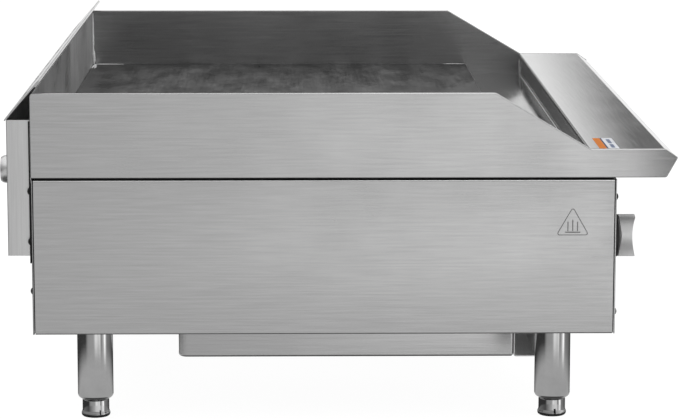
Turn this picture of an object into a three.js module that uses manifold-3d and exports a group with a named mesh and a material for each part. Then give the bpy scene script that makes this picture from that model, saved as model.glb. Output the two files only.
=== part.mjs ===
// A countertop gas griddle: a welded plate, splash guards and grease trough on a sheet-steel body with
// three burners, a slide-out grease tray, control knobs and four levelling legs. Millimetres, +Z up,
// +X to the cook's right and -Y towards the cook. The origin is on the counter, under the middle of
// the whole object.
import * as THREE from "three";
import { mergeVertices } from "three/addons/utils/BufferGeometryUtils.js";
import Module from "manifold-3d";

const wasm = await Module();
wasm.setup();

// ---- Driving dimensions ----

const WIDTH = 914.4; // outside the side sheets
const BODY_DEPTH = 609; // rear panel to control panel
const BODY_HEIGHT = 163.2; // bottom edge to the top edge of the lower body
const LEG_HEIGHT = 101.6;
const SHEET = 1.5;
const THIN_SHEET = 1.2; // inner pieces
const GAP = 0.3; // between pieces that touch

const TOP_BASE = 165.4; // underside of the welded top, above the bottom edge of the body
const PLATE_THICKNESS = 16;
const PLATE_FRONT = -507;
const GUARD = 5; // thickness of the side splash guards
const GUARD_TOP = 254;
const REAR_GUARD = SHEET;
const TROUGH_FRONT = -581;
const SHELF_TOP = 195.5;
const SHELF_NOSE = -672.1;

const FLUE_DEPTH = 25.5; // how far the flue box stands behind the body
const FLUE_BASE = 82;
const FLUE_TOP = 225;
const FLUE_INSET = 12;
const DEFLECTOR_FRONT = -10.8; // the deflector's top edge leans over the plate
const DEFLECTOR_TOP = 267;

const BURNERS = 3;
const KNOB_RADIUS = 23.5;
const KNOB_HEIGHT = 78; // knob axis above the bottom edge of the body
const STEM_RADIUS = 4;
const PIPE_RADIUS = 13.35; // 3/4 in pipe
const PIPE_BORE = 10.5;
const SUPPLY_X = 352;
const SUPPLY_Z = 53;
const MANIFOLD_Y = -582;
const INLET_END = 115; // the rearmost point of the object

const DRAIN_X = -157;
const DRAIN_SIZE = [90, 10];
const DRAIN_Y = -513.5;

const TRAY_WIDTH = 450;
const TRAY_REAR = -142;
const TRAY_FRONT = -521.5;
const TRAY_BASE = -75.6;
const TRAY_RIM = -14;
const PULL_FRONT = -547.5;
const PULL_TOP = -40;

const LEG_INSET_X = 65;
const LEG_Y = { front: -550, rear: -60 };
const LEG_RADIUS = 19.05;
const FOOT_RADIUS = 14.3;
const FOOT_FLARE = 15.4; // radius of the foot's lower edge and of its pad
const FOOT_STEM_RADIUS = 8;

const HALF = WIDTH / 2;
const FRONT = -BODY_DEPTH;
const TOP_HALF = HALF - GUARD - GAP; // half width of what is welded between the guards
const PLATE_TOP = TOP_BASE + PLATE_THICKNESS;
const BAY = WIDTH / BURNERS; // width of the plate over each burner
const FLANGE = 15;
const INNER_HALF = HALF - FLANGE - GAP; // clear of the side panels' flanges
const SIDES = { left: -1, right: 1 };

// ---- Finishes ----

const FINISHES = {
  stainless: { color: 0xb9bbbd, roughness: 0.34, metalness: 1 },
  plate_steel: { color: 0x5c5e60, roughness: 0.4, metalness: 1 },
  inner_steel: { color: 0x9a9c9e, roughness: 0.55, metalness: 1 },
  black_pipe: { color: 0x26272a, roughness: 0.6, metalness: 0.4 },
  brass: { color: 0xb08d4a, roughness: 0.35, metalness: 1 },
  knob_metal: { color: 0xcfd0d1, roughness: 0.3, metalness: 1 },
  black_plastic: { color: 0x1a1a1b, roughness: 0.5, metalness: 0 },
  leg_chrome: { color: 0xd2d4d6, roughness: 0.14, metalness: 1 },
  pad_rubber: { color: 0x161617, roughness: 0.75, metalness: 0 },
  gasket: { color: 0x0e0e0f, roughness: 0.9, metalness: 0 },
};

// ---- Geometry helpers ----

// A closed geometry as a solid that can be joined and cut.
function solidOf(geometry) {
  const bare = geometry.index ? geometry.toNonIndexed() : geometry.clone();
  bare.deleteAttribute("normal");
  bare.deleteAttribute("uv");
  const merged = mergeVertices(bare, 1e-4);
  const mesh = new wasm.Mesh({
    numProp: 3,
    vertProperties: merged.attributes.position.array,
    triVerts: new Uint32Array(merged.index.array),
  });
  return new wasm.Manifold(mesh);
}

function geometryOf(solid) {
  const mesh = solid.getMesh();
  const geometry = new THREE.BufferGeometry();
  geometry.setAttribute("position", new THREE.BufferAttribute(mesh.vertProperties, 3));
  geometry.setIndex(new THREE.BufferAttribute(mesh.triVerts, 1));
  return geometry.toNonIndexed();
}

function join(...geometries) {
  return geometryOf(geometries.map(solidOf).reduce((whole, piece) => whole.add(piece)));
}

function cut(geometry, ...tools) {
  return geometryOf(tools.map(solidOf).reduce((left, tool) => left.subtract(tool), solidOf(geometry)));
}

function keep(geometry, envelope) {
  return geometryOf(solidOf(geometry).intersect(solidOf(envelope)));
}

function block([x0, x1], [y0, y1], [z0, z1]) {
  const box = new THREE.BoxGeometry(Math.abs(x1 - x0), Math.abs(y1 - y0), Math.abs(z1 - z0));
  return box.translate((x0 + x1) / 2, (y0 + y1) / 2, (z0 + z1) / 2);
}

// A closed outline of [u, v] or [u, v, radius] corners.
function outline(corners) {
  const shape = new THREE.Shape();
  corners.forEach(([u, v, radius = 0], i) => {
    const corner = new THREE.Vector2(u, v);
    const [before, after] = [corners.at(i - 1), corners[(i + 1) % corners.length]];
    const towards = ([a, b]) =>
      new THREE.Vector2(a, b).sub(corner).setLength(radius).add(corner);
    const start = radius ? towards(before) : corner;
    if (i) shape.lineTo(start.x, start.y);
    else shape.moveTo(start.x, start.y);
    if (radius) {
      const end = towards(after);
      shape.quadraticCurveTo(u, v, end.x, end.y);
    }
  });
  shape.closePath();
  return shape;
}

function rectangle([u0, u1], [v0, v1], radius = 0) {
  return outline([
    [u0, v0, radius],
    [u1, v0, radius],
    [u1, v1, radius],
    [u0, v1, radius],
  ]);
}

// The section of a sheet bent along a line of points, with its thickness on the line's left.
function bentSheet(points, thickness = SHEET) {
  const line = points.map(([u, v]) => new THREE.Vector2(u, v));
  const normals = line.slice(1).map((end, i) => {
    const along = end.clone().sub(line[i]).normalize();
    return new THREE.Vector2(-along.y, along.x);
  });
  const inner = line.map((point, i) => {
    const [one, two] = [normals[Math.max(i - 1, 0)], normals[Math.min(i, normals.length - 1)]];
    const mitre = one.clone().add(two).divideScalar(1 + one.dot(two));
    return point.clone().addScaledVector(mitre, thickness);
  });
  return new THREE.Shape([...line, ...inner.reverse()]);
}

const X_AXIS = new THREE.Vector3(1, 0, 0);
const Y_AXIS = new THREE.Vector3(0, 1, 0);
const Z_AXIS = new THREE.Vector3(0, 0, 1);
const CURVE_SEGMENTS = 4;

function extruded(shape, depth) {
  return new THREE.ExtrudeGeometry(shape, {
    depth,
    bevelEnabled: false,
    curveSegments: CURVE_SEGMENTS,
  });
}

// An outline in (y, z), swept across the griddle from x0 to x1.
function across(shape, x0 = -TOP_HALF, x1 = TOP_HALF) {
  const upright = new THREE.Matrix4().makeBasis(Y_AXIS, Z_AXIS, X_AXIS);
  return extruded(shape, x1 - x0).applyMatrix4(upright).translate(x0, 0, 0);
}

// An outline in (x, z), swept forwards from y1 to y0.
function forwards(shape, y0, y1) {
  const upright = new THREE.Matrix4().makeBasis(X_AXIS, Z_AXIS, Y_AXIS.clone().negate());
  return extruded(shape, y1 - y0).applyMatrix4(upright).translate(0, y1, 0);
}

// An outline in (x, y), raised from z0 to z1.
function raised(shape, z0, z1) {
  return extruded(shape, z1 - z0).translate(0, 0, z0);
}

function turned(profile, sides = 20) {
  return new THREE.LatheGeometry(
    profile.map(([radius, height]) => new THREE.Vector2(radius, height)),
    sides,
  );
}

function rodAlong(axis, radius, from, to, sides = 20) {
  const rod = new THREE.CylinderGeometry(radius, radius, to - from, sides);
  const turn = new THREE.Quaternion().setFromUnitVectors(Y_AXIS, axis);
  return rod.translate(0, (from + to) / 2, 0).applyQuaternion(turn);
}

// A round bar or tube of that outer radius along a curve.
function swept(curve, steps, radius, bore = 0, sides = 10) {
  const ring = (r) =>
    Array.from({ length: sides }, (_, i) => {
      const angle = (i / sides) * 2 * Math.PI;
      return new THREE.Vector2(r * Math.cos(angle), r * Math.sin(angle));
    });
  const section = new THREE.Shape(ring(radius));
  if (bore) section.holes.push(new THREE.Path(ring(bore)));
  return new THREE.ExtrudeGeometry(section, { steps, extrudePath: curve });
}

// ---- Assembly ----

const griddle = new THREE.Group();
griddle.name = "flat_top_griddle";

// The body's own frame: y is 0 at the back of the rear panel, z is 0 at the body's bottom edge.
const body = new THREE.Group();
griddle.add(body);

function add(name, geometry, finish, parent = body) {
  const mesh = new THREE.Mesh(geometry, new THREE.MeshStandardMaterial(FINISHES[finish]));
  mesh.name = name;
  parent.add(mesh);
  return mesh;
}

// ---- Welded top: plate, guards, trough and shelf ----

function griddlePlate() {
  const section = outline([
    [-REAR_GUARD - GAP, TOP_BASE],
    [-REAR_GUARD - GAP, PLATE_TOP],
    [PLATE_FRONT, PLATE_TOP, 1.5],
    [PLATE_FRONT, TOP_BASE],
  ]);
  return across(section);
}

// The side plate runs from the rear, down its slope beside the trough and on to the shelf's nose.
function splashGuard(side) {
  const profile = outline([
    [0, TOP_BASE],
    [0, GUARD_TOP, 4],
    [-482, GUARD_TOP, 3],
    [TROUGH_FRONT, SHELF_TOP, 3],
    [-656.3, SHELF_TOP, 5],
    [SHELF_NOSE, 186.4, 1.5],
    [-660.5, TOP_BASE, 3],
  ]);
  const [inner, outer] = [TOP_HALF + GAP, HALF];
  return side < 0 ? across(profile, -outer, -inner) : across(profile, inner, outer);
}

function rearSplashGuard() {
  return block([-TOP_HALF, TOP_HALF], [-REAR_GUARD, 0], [TOP_BASE, GUARD_TOP - 2.3]);
}

function greaseTrough() {
  const wallTop = SHELF_TOP - SHEET - 2 * GAP;
  const section = bentSheet([
    [PLATE_FRONT - GAP, TOP_BASE],
    [TROUGH_FRONT - SHEET, TOP_BASE],
    [TROUGH_FRONT - SHEET, wallTop],
  ].reverse());
  const [length, width] = DRAIN_SIZE;
  const drain = block(
    [DRAIN_X - length / 2, DRAIN_X + length / 2],
    [DRAIN_Y - width / 2, DRAIN_Y + width / 2],
    [TOP_BASE - 1, TOP_BASE + SHEET + 1],
  );
  return cut(across(section), drain);
}

function frontShelf() {
  const section = bentSheet([
    [TROUGH_FRONT, SHELF_TOP - GAP],
    [-656.3, SHELF_TOP - GAP],
    [SHELF_NOSE + 0.5, 186.2],
    [-660.2, TOP_BASE + GAP],
    [-612, TOP_BASE + GAP],
  ]);
  return across(section);
}

add("griddle_plate", griddlePlate(), "plate_steel");
for (const [name, side] of Object.entries(SIDES)) {
  add(`${name}_splash_guard`, splashGuard(side), "stainless");
}
add("rear_splash_guard", rearSplashGuard(), "stainless");
add("grease_trough", greaseTrough(), "stainless");
add("front_shelf", frontShelf(), "stainless");

// ---- Flue: box behind the body and the sloped deflector over it ----

const DEFLECTOR_BASE = FLUE_TOP + GAP;
const DEFLECTOR_RUN = FLUE_DEPTH - DEFLECTOR_FRONT;
const DEFLECTOR_RISE = DEFLECTOR_TOP - DEFLECTOR_BASE;
const DEFLECTOR_SLOPE = Math.atan2(DEFLECTOR_RISE, DEFLECTOR_RUN);
const SLOTS = 6;
const SLOT_PITCH = 140;
const SLOT_SIZE = [110, 12];
const SLOT_Y = 13;

function flueBox() {
  const half = HALF - FLUE_INSET;
  const outside = block([-half, half], [GAP, FLUE_DEPTH], [FLUE_BASE, FLUE_TOP]);
  const inside = block(
    [-half + THIN_SHEET, half - THIN_SHEET],
    [-1, FLUE_DEPTH - THIN_SHEET],
    [FLUE_BASE + THIN_SHEET, FLUE_TOP + 1],
  );
  const flanges = block([-half - 10, half + 10], [GAP, GAP + THIN_SHEET], [FLUE_BASE - 6, 160]);
  const window = block([-half + 0.1, half - 0.1], [-1, 3], [FLUE_BASE + 0.1, 170]);
  return cut(join(outside, cut(flanges, window)), inside);
}

function flueDeflector() {
  const [sin, cos] = [Math.sin(DEFLECTOR_SLOPE), Math.cos(DEFLECTOR_SLOPE)];
  const hem = 8;
  const hemStart = [DEFLECTOR_FRONT + hem * cos, DEFLECTOR_TOP - hem * sin];
  const under = ([y, z]) => [y - SHEET * sin, z - SHEET * cos];
  const over = ([y, z]) => [y + SHEET * sin, z + SHEET * cos];
  const [foot, head] = [[FLUE_DEPTH, DEFLECTOR_BASE], [DEFLECTOR_FRONT, DEFLECTOR_TOP]];
  const section = outline([foot, hemStart, under(hemStart), under(head), over(head), over(foot)]);
  const slotZ = DEFLECTOR_BASE + (FLUE_DEPTH - SLOT_Y) * Math.tan(DEFLECTOR_SLOPE);
  const slots = Array.from({ length: SLOTS }, (_, i) =>
    new THREE.BoxGeometry(SLOT_SIZE[0], SLOT_SIZE[1], 4 * SHEET)
      .rotateX(-DEFLECTOR_SLOPE)
      .translate((i - (SLOTS - 1) / 2) * SLOT_PITCH, SLOT_Y, slotZ),
  );
  return cut(across(section, -HALF, HALF), ...slots);
}

add("flue_box", flueBox(), "stainless");
add("flue_deflector", flueDeflector(), "stainless");

// ---- Lower body: panels, pan and gasket ----

const LEG_X = HALF - LEG_INSET_X;
const CHUTE_WALL = 2;

function sidePanel(side) {
  const skin = block([HALF - SHEET, HALF], [FRONT + SHEET + GAP, -SHEET - GAP], [0, BODY_HEIGHT]);
  const flanged = block([HALF - FLANGE, HALF], [FRONT + SHEET + GAP, -SHEET - GAP], [0, BODY_HEIGHT]);
  const hollow = block(
    [HALF - FLANGE - 1, HALF - SHEET],
    [FRONT + 2 * SHEET + GAP, -2 * SHEET - GAP],
    [SHEET, BODY_HEIGHT - SHEET],
  );
  const panel = join(skin, cut(flanged, hollow));
  return side < 0 ? panel.rotateZ(Math.PI).translate(0, FRONT, 0) : panel;
}

function controlPanel() {
  const face = block([-HALF, HALF], [FRONT, FRONT + SHEET], [0, BODY_HEIGHT]);
  const heights = [BODY_HEIGHT - SHEET, BODY_HEIGHT];
  const flange = block([-INNER_HALF, INNER_HALF], [FRONT, FRONT + FLANGE], heights);
  const holes = burnerPositions().map((x) =>
    rodAlong(Y_AXIS, STEM_RADIUS + 3, -5, 5).translate(x, FRONT, KNOB_HEIGHT),
  );
  return cut(join(face, flange), ...holes);
}

function rearPanel() {
  const face = block([-HALF, HALF], [-SHEET, 0], [0, BODY_HEIGHT]);
  const flueWindow = block([-380, 380], [-5, 5], [FLUE_BASE + 8, 150]);
  const pipeHole = rodAlong(Y_AXIS, PIPE_RADIUS + 2, -5, 5).translate(SUPPLY_X, 0, SUPPLY_Z);
  return cut(face, flueWindow, pipeHole);
}

function bottomPan() {
  const pan = block([-INNER_HALF, INNER_HALF], [FRONT + SHEET + GAP, -SHEET - GAP], [0, THIN_SHEET]);
  const airOpenings = burnerPositions().map((x) => block([x - 115, x + 115], [-345, -255], [-1, 3]));
  const [length, width] = DRAIN_SIZE.map((size) => size / 2 + CHUTE_WALL + 2);
  const chuteHole = block([DRAIN_X - length, DRAIN_X + length], [DRAIN_Y - width, DRAIN_Y + width], [-1, 3]);
  const studHoles = legPositions().map(({ x, y }) => rodAlong(Z_AXIS, 5.5, -5, 5, 12).translate(x, y, 0));
  return cut(pan, ...airOpenings, chuteHole, ...studHoles);
}

function topGasket() {
  const frame = rectangle([-HALF + 4, HALF - 4], [FRONT + 5, -4]);
  frame.holes.push(rectangle([-INNER_HALF, INNER_HALF], [FRONT + FLANGE, -FLANGE]));
  return raised(frame, BODY_HEIGHT + GAP, TOP_BASE - GAP);
}

function greaseChute() {
  const [length, width] = DRAIN_SIZE.map((size) => size / 2);
  const duct = rectangle(
    [DRAIN_X - length - CHUTE_WALL, DRAIN_X + length + CHUTE_WALL],
    [DRAIN_Y - width - CHUTE_WALL, DRAIN_Y + width + CHUTE_WALL],
  );
  duct.holes.push(
    rectangle([DRAIN_X - length, DRAIN_X + length], [DRAIN_Y - width, DRAIN_Y + width]),
  );
  return raised(duct, -3, TOP_BASE - GAP);
}

function burnerPositions() {
  return Array.from({ length: BURNERS }, (_, i) => (i - (BURNERS - 1) / 2) * BAY);
}

function legPositions() {
  return Object.entries(LEG_Y).flatMap(([row, y]) =>
    Object.entries(SIDES).map(([name, side]) => ({ name: `${row}_${name}`, x: side * LEG_X, y })),
  );
}

for (const [name, side] of Object.entries(SIDES)) {
  add(`${name}_side_panel`, sidePanel(side), "stainless");
}
add("control_panel", controlPanel(), "stainless");
add("rear_panel", rearPanel(), "stainless");
add("bottom_pan", bottomPan(), "inner_steel");
add("top_gasket", topGasket(), "gasket");
add("grease_chute", greaseChute(), "inner_steel");

// ---- Fire box: baffle, heat shields, rails and burners ----

const BAFFLE_Y = -504.2;
const SHIELD_X = 440;
const BURNER_RADIUS = 17;
const BURNER_BORE = 15.5;
const BURNER_HEIGHT = 108;
const BURNER_LEG = 62; // each leg's distance from the burner's middle
const MOUTH_Y = -552;
const PILOT_OFFSET = -30;

function frontBaffle() {
  const heights = [3, BODY_HEIGHT - SHEET - GAP];
  const sheet = block([-HALF + 2, HALF - 2], [BAFFLE_Y, BAFFLE_Y + THIN_SHEET], heights);
  const hole = (radius, x, z) => rodAlong(Y_AXIS, radius, -5, 5, 10).translate(x, BAFFLE_Y, z);
  const holes = burnerPositions().flatMap((x) => [
    hole(BURNER_RADIUS + 4, x, KNOB_HEIGHT),
    hole(5, x + PILOT_OFFSET, SUPPLY_Z),
  ]);
  return cut(sheet, ...holes, hole(PIPE_RADIUS + 2, SUPPLY_X, SUPPLY_Z));
}

function heatShield(side) {
  const [inner, outer] = [SHIELD_X, SHIELD_X + THIN_SHEET].map((x) => x * side);
  return block([inner, outer], [-500, -10], [6, 160]);
}

// An angle across the fire box that the burners lie on.
function burnerRail(y) {
  const top = BURNER_HEIGHT - BURNER_RADIUS - GAP;
  const section = bentSheet([
    [y, top - 18],
    [y, top],
    [y + 20, top],
  ].reverse());
  return across(section, -SHIELD_X + GAP, SHIELD_X - GAP);
}

// A tube bent into a U, fed at the front by an open mouth and closed at its far end.
function burner() {
  const turnY = -120;
  const bend = Array.from({ length: 5 }, (_, i) => {
    const angle = (i / 4) * Math.PI;
    return [BURNER_LEG * Math.cos(angle), turnY + BURNER_LEG * Math.sin(angle), BURNER_HEIGHT];
  });
  const route = [
    [0, MOUTH_Y, KNOB_HEIGHT],
    [0, -525, KNOB_HEIGHT],
    [0, -495, KNOB_HEIGHT],
    [BURNER_LEG, -410, BURNER_HEIGHT],
    [BURNER_LEG, -310, BURNER_HEIGHT],
    [BURNER_LEG, -200, BURNER_HEIGHT],
    ...bend,
    [-BURNER_LEG, -200, BURNER_HEIGHT],
    [-BURNER_LEG, -310, BURNER_HEIGHT],
    [-BURNER_LEG, -430, BURNER_HEIGHT],
  ].map((point) => new THREE.Vector3(...point));
  const tube = swept(new THREE.CatmullRomCurve3(route), 27, BURNER_RADIUS, BURNER_BORE, 8);
  const cap = rodAlong(Y_AXIS, BURNER_RADIUS - 0.5, -431, -427, 8);
  return join(tube, cap.translate(-BURNER_LEG, 0, BURNER_HEIGHT));
}

function pilot() {
  const route = [
    [0, MANIFOLD_Y + PIPE_RADIUS + GAP, SUPPLY_Z],
    [0, -530, SUPPLY_Z],
    [0, -490, SUPPLY_Z],
    [0, -462, 70],
    [0, -455, 96],
  ].map((point) => new THREE.Vector3(...point));
  const line = swept(new THREE.CatmullRomCurve3(route), 9, 3.2, 0, 6);
  const head = turned([[0, 92], [5.5, 92], [5.5, 108], [3.5, 112], [0, 112]], 10);
  return join(line, head.rotateX(Math.PI / 2).translate(0, -455, 0));
}

add("front_heat_baffle", frontBaffle(), "inner_steel");
for (const [name, side] of Object.entries(SIDES)) {
  add(`${name}_heat_shield`, heatShield(side), "inner_steel");
}
add("front_burner_rail", burnerRail(-400), "inner_steel");
add("rear_burner_rail", burnerRail(-160), "inner_steel");

// ---- Gas train: manifold, supply pipe, inlet, valves, pilots and knobs ----

const ELBOW_RADIUS = 30;

function manifoldPipe() {
  const [from, to] = [-395, SUPPLY_X - ELBOW_RADIUS - GAP];
  const bore = rodAlong(X_AXIS, PIPE_BORE, from + 4, to + 5, 16);
  return cut(rodAlong(X_AXIS, PIPE_RADIUS, from, to, 16), bore).translate(0, MANIFOLD_Y, SUPPLY_Z);
}

function manifoldElbow() {
  const corner = new THREE.Vector3(SUPPLY_X, MANIFOLD_Y, SUPPLY_Z);
  const bend = new THREE.QuadraticBezierCurve3(
    corner.clone().add(new THREE.Vector3(-ELBOW_RADIUS, 0, 0)),
    corner,
    corner.clone().add(new THREE.Vector3(0, ELBOW_RADIUS, 0)),
  );
  return swept(bend, 8, PIPE_RADIUS + 3.5, PIPE_BORE, 12);
}

function supplyPipe() {
  const [from, to] = [MANIFOLD_Y + ELBOW_RADIUS + GAP, INLET_END - 20];
  const bore = rodAlong(Y_AXIS, PIPE_BORE, from - 5, to + 5, 16);
  return cut(rodAlong(Y_AXIS, PIPE_RADIUS, from, to, 16), bore).translate(SUPPLY_X, 0, SUPPLY_Z);
}

function inletCoupling() {
  const [bore, radius, length] = [PIPE_RADIUS + GAP, 18.5, 45];
  const profile = [
    [bore, INLET_END - length],
    [radius - 1.5, INLET_END - length],
    [radius, INLET_END - length + 2],
    [radius, INLET_END - 5],
    [radius - 2.5, INLET_END],
    [bore, INLET_END],
    [bore, INLET_END - length],
  ];
  return turned(profile).translate(SUPPLY_X, 0, SUPPLY_Z);
}

// A plug valve that stands on the manifold, with its bonnet forwards and its orifice rearwards.
function gasValve() {
  const base = SUPPLY_Z + PIPE_RADIUS + GAP;
  const housing = block([-13, 13], [MANIFOLD_Y - 12, MANIFOLD_Y + 12], [base, 92]);
  const bonnet = rodAlong(Y_AXIS, 9, FRONT + 5, MANIFOLD_Y).translate(0, 0, KNOB_HEIGHT);
  const orifice = turned([[0, MANIFOLD_Y], [8, MANIFOLD_Y], [8, -566], [4, -556], [0, -556]], 12);
  const bore = rodAlong(Y_AXIS, STEM_RADIUS + GAP, FRONT, FRONT + 12).translate(0, 0, KNOB_HEIGHT);
  return cut(join(housing, bonnet, orifice.translate(0, 0, KNOB_HEIGHT)), bore);
}

const STEM_TIP = -20; // in front of the control panel

function valveStem() {
  const stem = rodAlong(Y_AXIS, STEM_RADIUS, STEM_TIP, 11, 16);
  const flat = block([-6, 6], [STEM_TIP - 1, -6], [STEM_RADIUS * 0.6, STEM_RADIUS + 1]);
  return cut(stem, flat);
}

// The skirt's shallow cone; the grip sits on it.
function knobCone(clearance) {
  const rim = -19 - clearance;
  return [[KNOB_RADIUS, rim], [5, rim - 4], [0, rim - 4]];
}

function knobBore() {
  return rodAlong(Y_AXIS, STEM_RADIUS + GAP, STEM_TIP - 1, 0, 16);
}

function knobSkirt() {
  const disc = turned([[0, -3.2], [KNOB_RADIUS - 1.5, -3.2], [KNOB_RADIUS, -5], ...knobCone(0)], 24);
  return cut(disc.scale(1, -1, 1).rotateX(Math.PI), knobBore());
}

// A bar across the knob, scooped on both sides for the fingers and dished along its front.
function knobGrip() {
  const front = -38.5;
  const scoopRadius = 48;
  const waist = 4.5;
  const dishRadius = 95;
  const blank = rodAlong(Y_AXIS, KNOB_RADIUS - 0.3, front, -10, 24);
  const scoops = [-1, 1].map((side) =>
    rodAlong(Y_AXIS, scoopRadius, front - 5, 0, 40).translate(side * (scoopRadius + waist), 0, 0),
  );
  const dish = rodAlong(X_AXIS, dishRadius, -40, 40, 72).translate(0, front - dishRadius + 2.6, 0);
  const cone = turned([[0, 0], [40, 0], [40, -19 - GAP], ...knobCone(GAP)], 24);
  return cut(blank, ...scoops, dish, cone.scale(1, -1, 1).rotateX(Math.PI), knobBore());
}

add("gas_manifold", manifoldPipe(), "black_pipe");
add("manifold_elbow", manifoldElbow(), "black_pipe");
add("supply_pipe", supplyPipe(), "black_pipe");
add("gas_inlet_coupling", inletCoupling(), "stainless");

burnerPositions().forEach((x, i) => {
  const station = new THREE.Group();
  station.position.x = x;
  body.add(station);
  add(`burner_${i + 1}`, burner(), "inner_steel", station);
  add(`pilot_${i + 1}`, pilot(), "brass", station).position.x = PILOT_OFFSET;
  add(`gas_valve_${i + 1}`, gasValve(), "brass", station);

  const spindle = new THREE.Group();
  spindle.position.set(0, FRONT, KNOB_HEIGHT);
  station.add(spindle);
  add(`valve_stem_${i + 1}`, valveStem(), "brass", spindle);
  add(`knob_skirt_${i + 1}`, knobSkirt(), "black_plastic", spindle);
  add(`knob_grip_${i + 1}`, knobGrip(), "knob_metal", spindle);
});

// ---- Grease tray on its rails ----

const RAIL_LEDGE = TRAY_RIM - 2 * SHEET - GAP; // underside of the rails' ledges
const RIM_WIDTH = 12;

// A rounded tub whose bottom edge is rounded too; its top is cut off level.
function tub(halfWidth, [front, rear], [base, top], cornerRadius, edgeRadius) {
  const plan = rectangle([-halfWidth, halfWidth], [front, rear], cornerRadius);
  const form = new THREE.ExtrudeGeometry(plan, {
    depth: top - base,
    bevelThickness: edgeRadius,
    bevelSize: edgeRadius,
    bevelOffset: -edgeRadius,
    bevelSegments: 3,
    curveSegments: CURVE_SEGMENTS,
  });
  const below = block([-2 * halfWidth, 2 * halfWidth], [front - 10, rear + 10], [base - 1, top]);
  return keep(form.translate(0, 0, base + edgeRadius), below);
}

function greaseTray() {
  const half = TRAY_WIDTH / 2;
  const shell = tub(half, [TRAY_FRONT, TRAY_REAR], [TRAY_BASE, TRAY_RIM], 10, 4);
  const [rimHalf, rimEnds] = [half + RIM_WIDTH, [TRAY_FRONT + 12, TRAY_REAR - 12]];
  const rim = block([-rimHalf, rimHalf], rimEnds, [TRAY_RIM - SHEET, TRAY_RIM]);
  const hollow = tub(
    half - SHEET,
    [TRAY_FRONT + SHEET, TRAY_REAR - SHEET],
    [TRAY_BASE + SHEET, TRAY_RIM + 5],
    8.5,
    2.5,
  );
  return cut(join(shell, rim), hollow);
}

// A sheet channel along the whole front of the tray; its front wall is the pull.
function trayHandle() {
  const rear = TRAY_FRONT - GAP;
  const section = bentSheet([
    [PULL_FRONT, PULL_TOP],
    [PULL_FRONT, TRAY_BASE],
    [rear, TRAY_BASE],
    [rear, PULL_TOP],
  ]);
  return across(section, -TRAY_WIDTH / 2, TRAY_WIDTH / 2);
}

// A Z-section rail: fixed under the body, with a ledge that the tray's rim slides on.
function trayRail(side) {
  const web = TRAY_WIDTH / 2 + RIM_WIDTH + 3;
  const points = [
    [web - 12, RAIL_LEDGE],
    [web, RAIL_LEDGE],
    [web, -GAP - SHEET],
    [web + 14, -GAP - SHEET],
  ].map(([x, z]) => [x * side, z]);
  return forwards(bentSheet(side < 0 ? points.reverse() : points), TRAY_FRONT, TRAY_REAR);
}

add("grease_tray", greaseTray(), "stainless");
add("tray_handle", trayHandle(), "stainless");
for (const [name, side] of Object.entries(SIDES)) {
  add(`${name}_tray_rail`, trayRail(side), "inner_steel");
}

// ---- Legs: a sleeve bolted under the body, a screw-in foot and its pad ----

const SLEEVE_BASE = -82;
const SLEEVE_EDGE = 4.5; // radius of the sleeve's rounded lower edge
const FOOT_TOP = -83;
const FOOT_BASE = -98.4;

function legSleeve() {
  const bore = FOOT_STEM_RADIUS + GAP;
  const lowerEdge = Array.from({ length: 4 }, (_, i) => {
    const angle = (i / 3) * (Math.PI / 2);
    return [
      LEG_RADIUS - SLEEVE_EDGE * (1 - Math.cos(angle)),
      SLEEVE_BASE + SLEEVE_EDGE * (1 - Math.sin(angle)),
    ];
  });
  const profile = [
    [0, 14],
    [5, 14],
    [5, -GAP],
    [LEG_RADIUS, -GAP],
    ...lowerEdge,
    [bore, SLEEVE_BASE],
    [bore, -12],
    [0, -12],
  ];
  return turned(profile.reverse());
}

function legFoot() {
  const profile = [
    [0, -28],
    [FOOT_STEM_RADIUS, -30],
    [FOOT_STEM_RADIUS, FOOT_TOP],
    [FOOT_RADIUS - 1, FOOT_TOP],
    [FOOT_RADIUS, FOOT_TOP - 1],
    [FOOT_RADIUS, FOOT_BASE + 3.4],
    [FOOT_FLARE, FOOT_BASE + 0.9],
    [FOOT_FLARE, FOOT_BASE],
    [0, FOOT_BASE],
  ];
  return turned(profile.reverse());
}

function footPad() {
  const profile = [
    [0, FOOT_BASE - GAP],
    [FOOT_FLARE, FOOT_BASE - GAP],
    [FOOT_FLARE - 0.5, -LEG_HEIGHT + 1],
    [FOOT_FLARE - 1.5, -LEG_HEIGHT],
    [0, -LEG_HEIGHT],
  ];
  return turned(profile.reverse());
}

for (const { name, x, y } of legPositions()) {
  const leg = new THREE.Group();
  leg.position.set(x, y, 0);
  body.add(leg);
  add(`leg_sleeve_${name}`, legSleeve().rotateX(Math.PI / 2), "leg_chrome", leg);
  add(`leg_foot_${name}`, legFoot().rotateX(Math.PI / 2), "leg_chrome", leg);
  add(`foot_pad_${name}`, footPad().rotateX(Math.PI / 2), "pad_rubber", leg);
}

// The origin goes on the counter, under the middle of the whole object.
const extent = new THREE.Box3().setFromObject(body);
const middle = extent.getCenter(new THREE.Vector3());
body.position.set(-middle.x, -middle.y, -extent.min.z);

export default griddle;
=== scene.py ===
import math
import random

import bmesh
import bpy
from mathutils import Matrix, Vector


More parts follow.
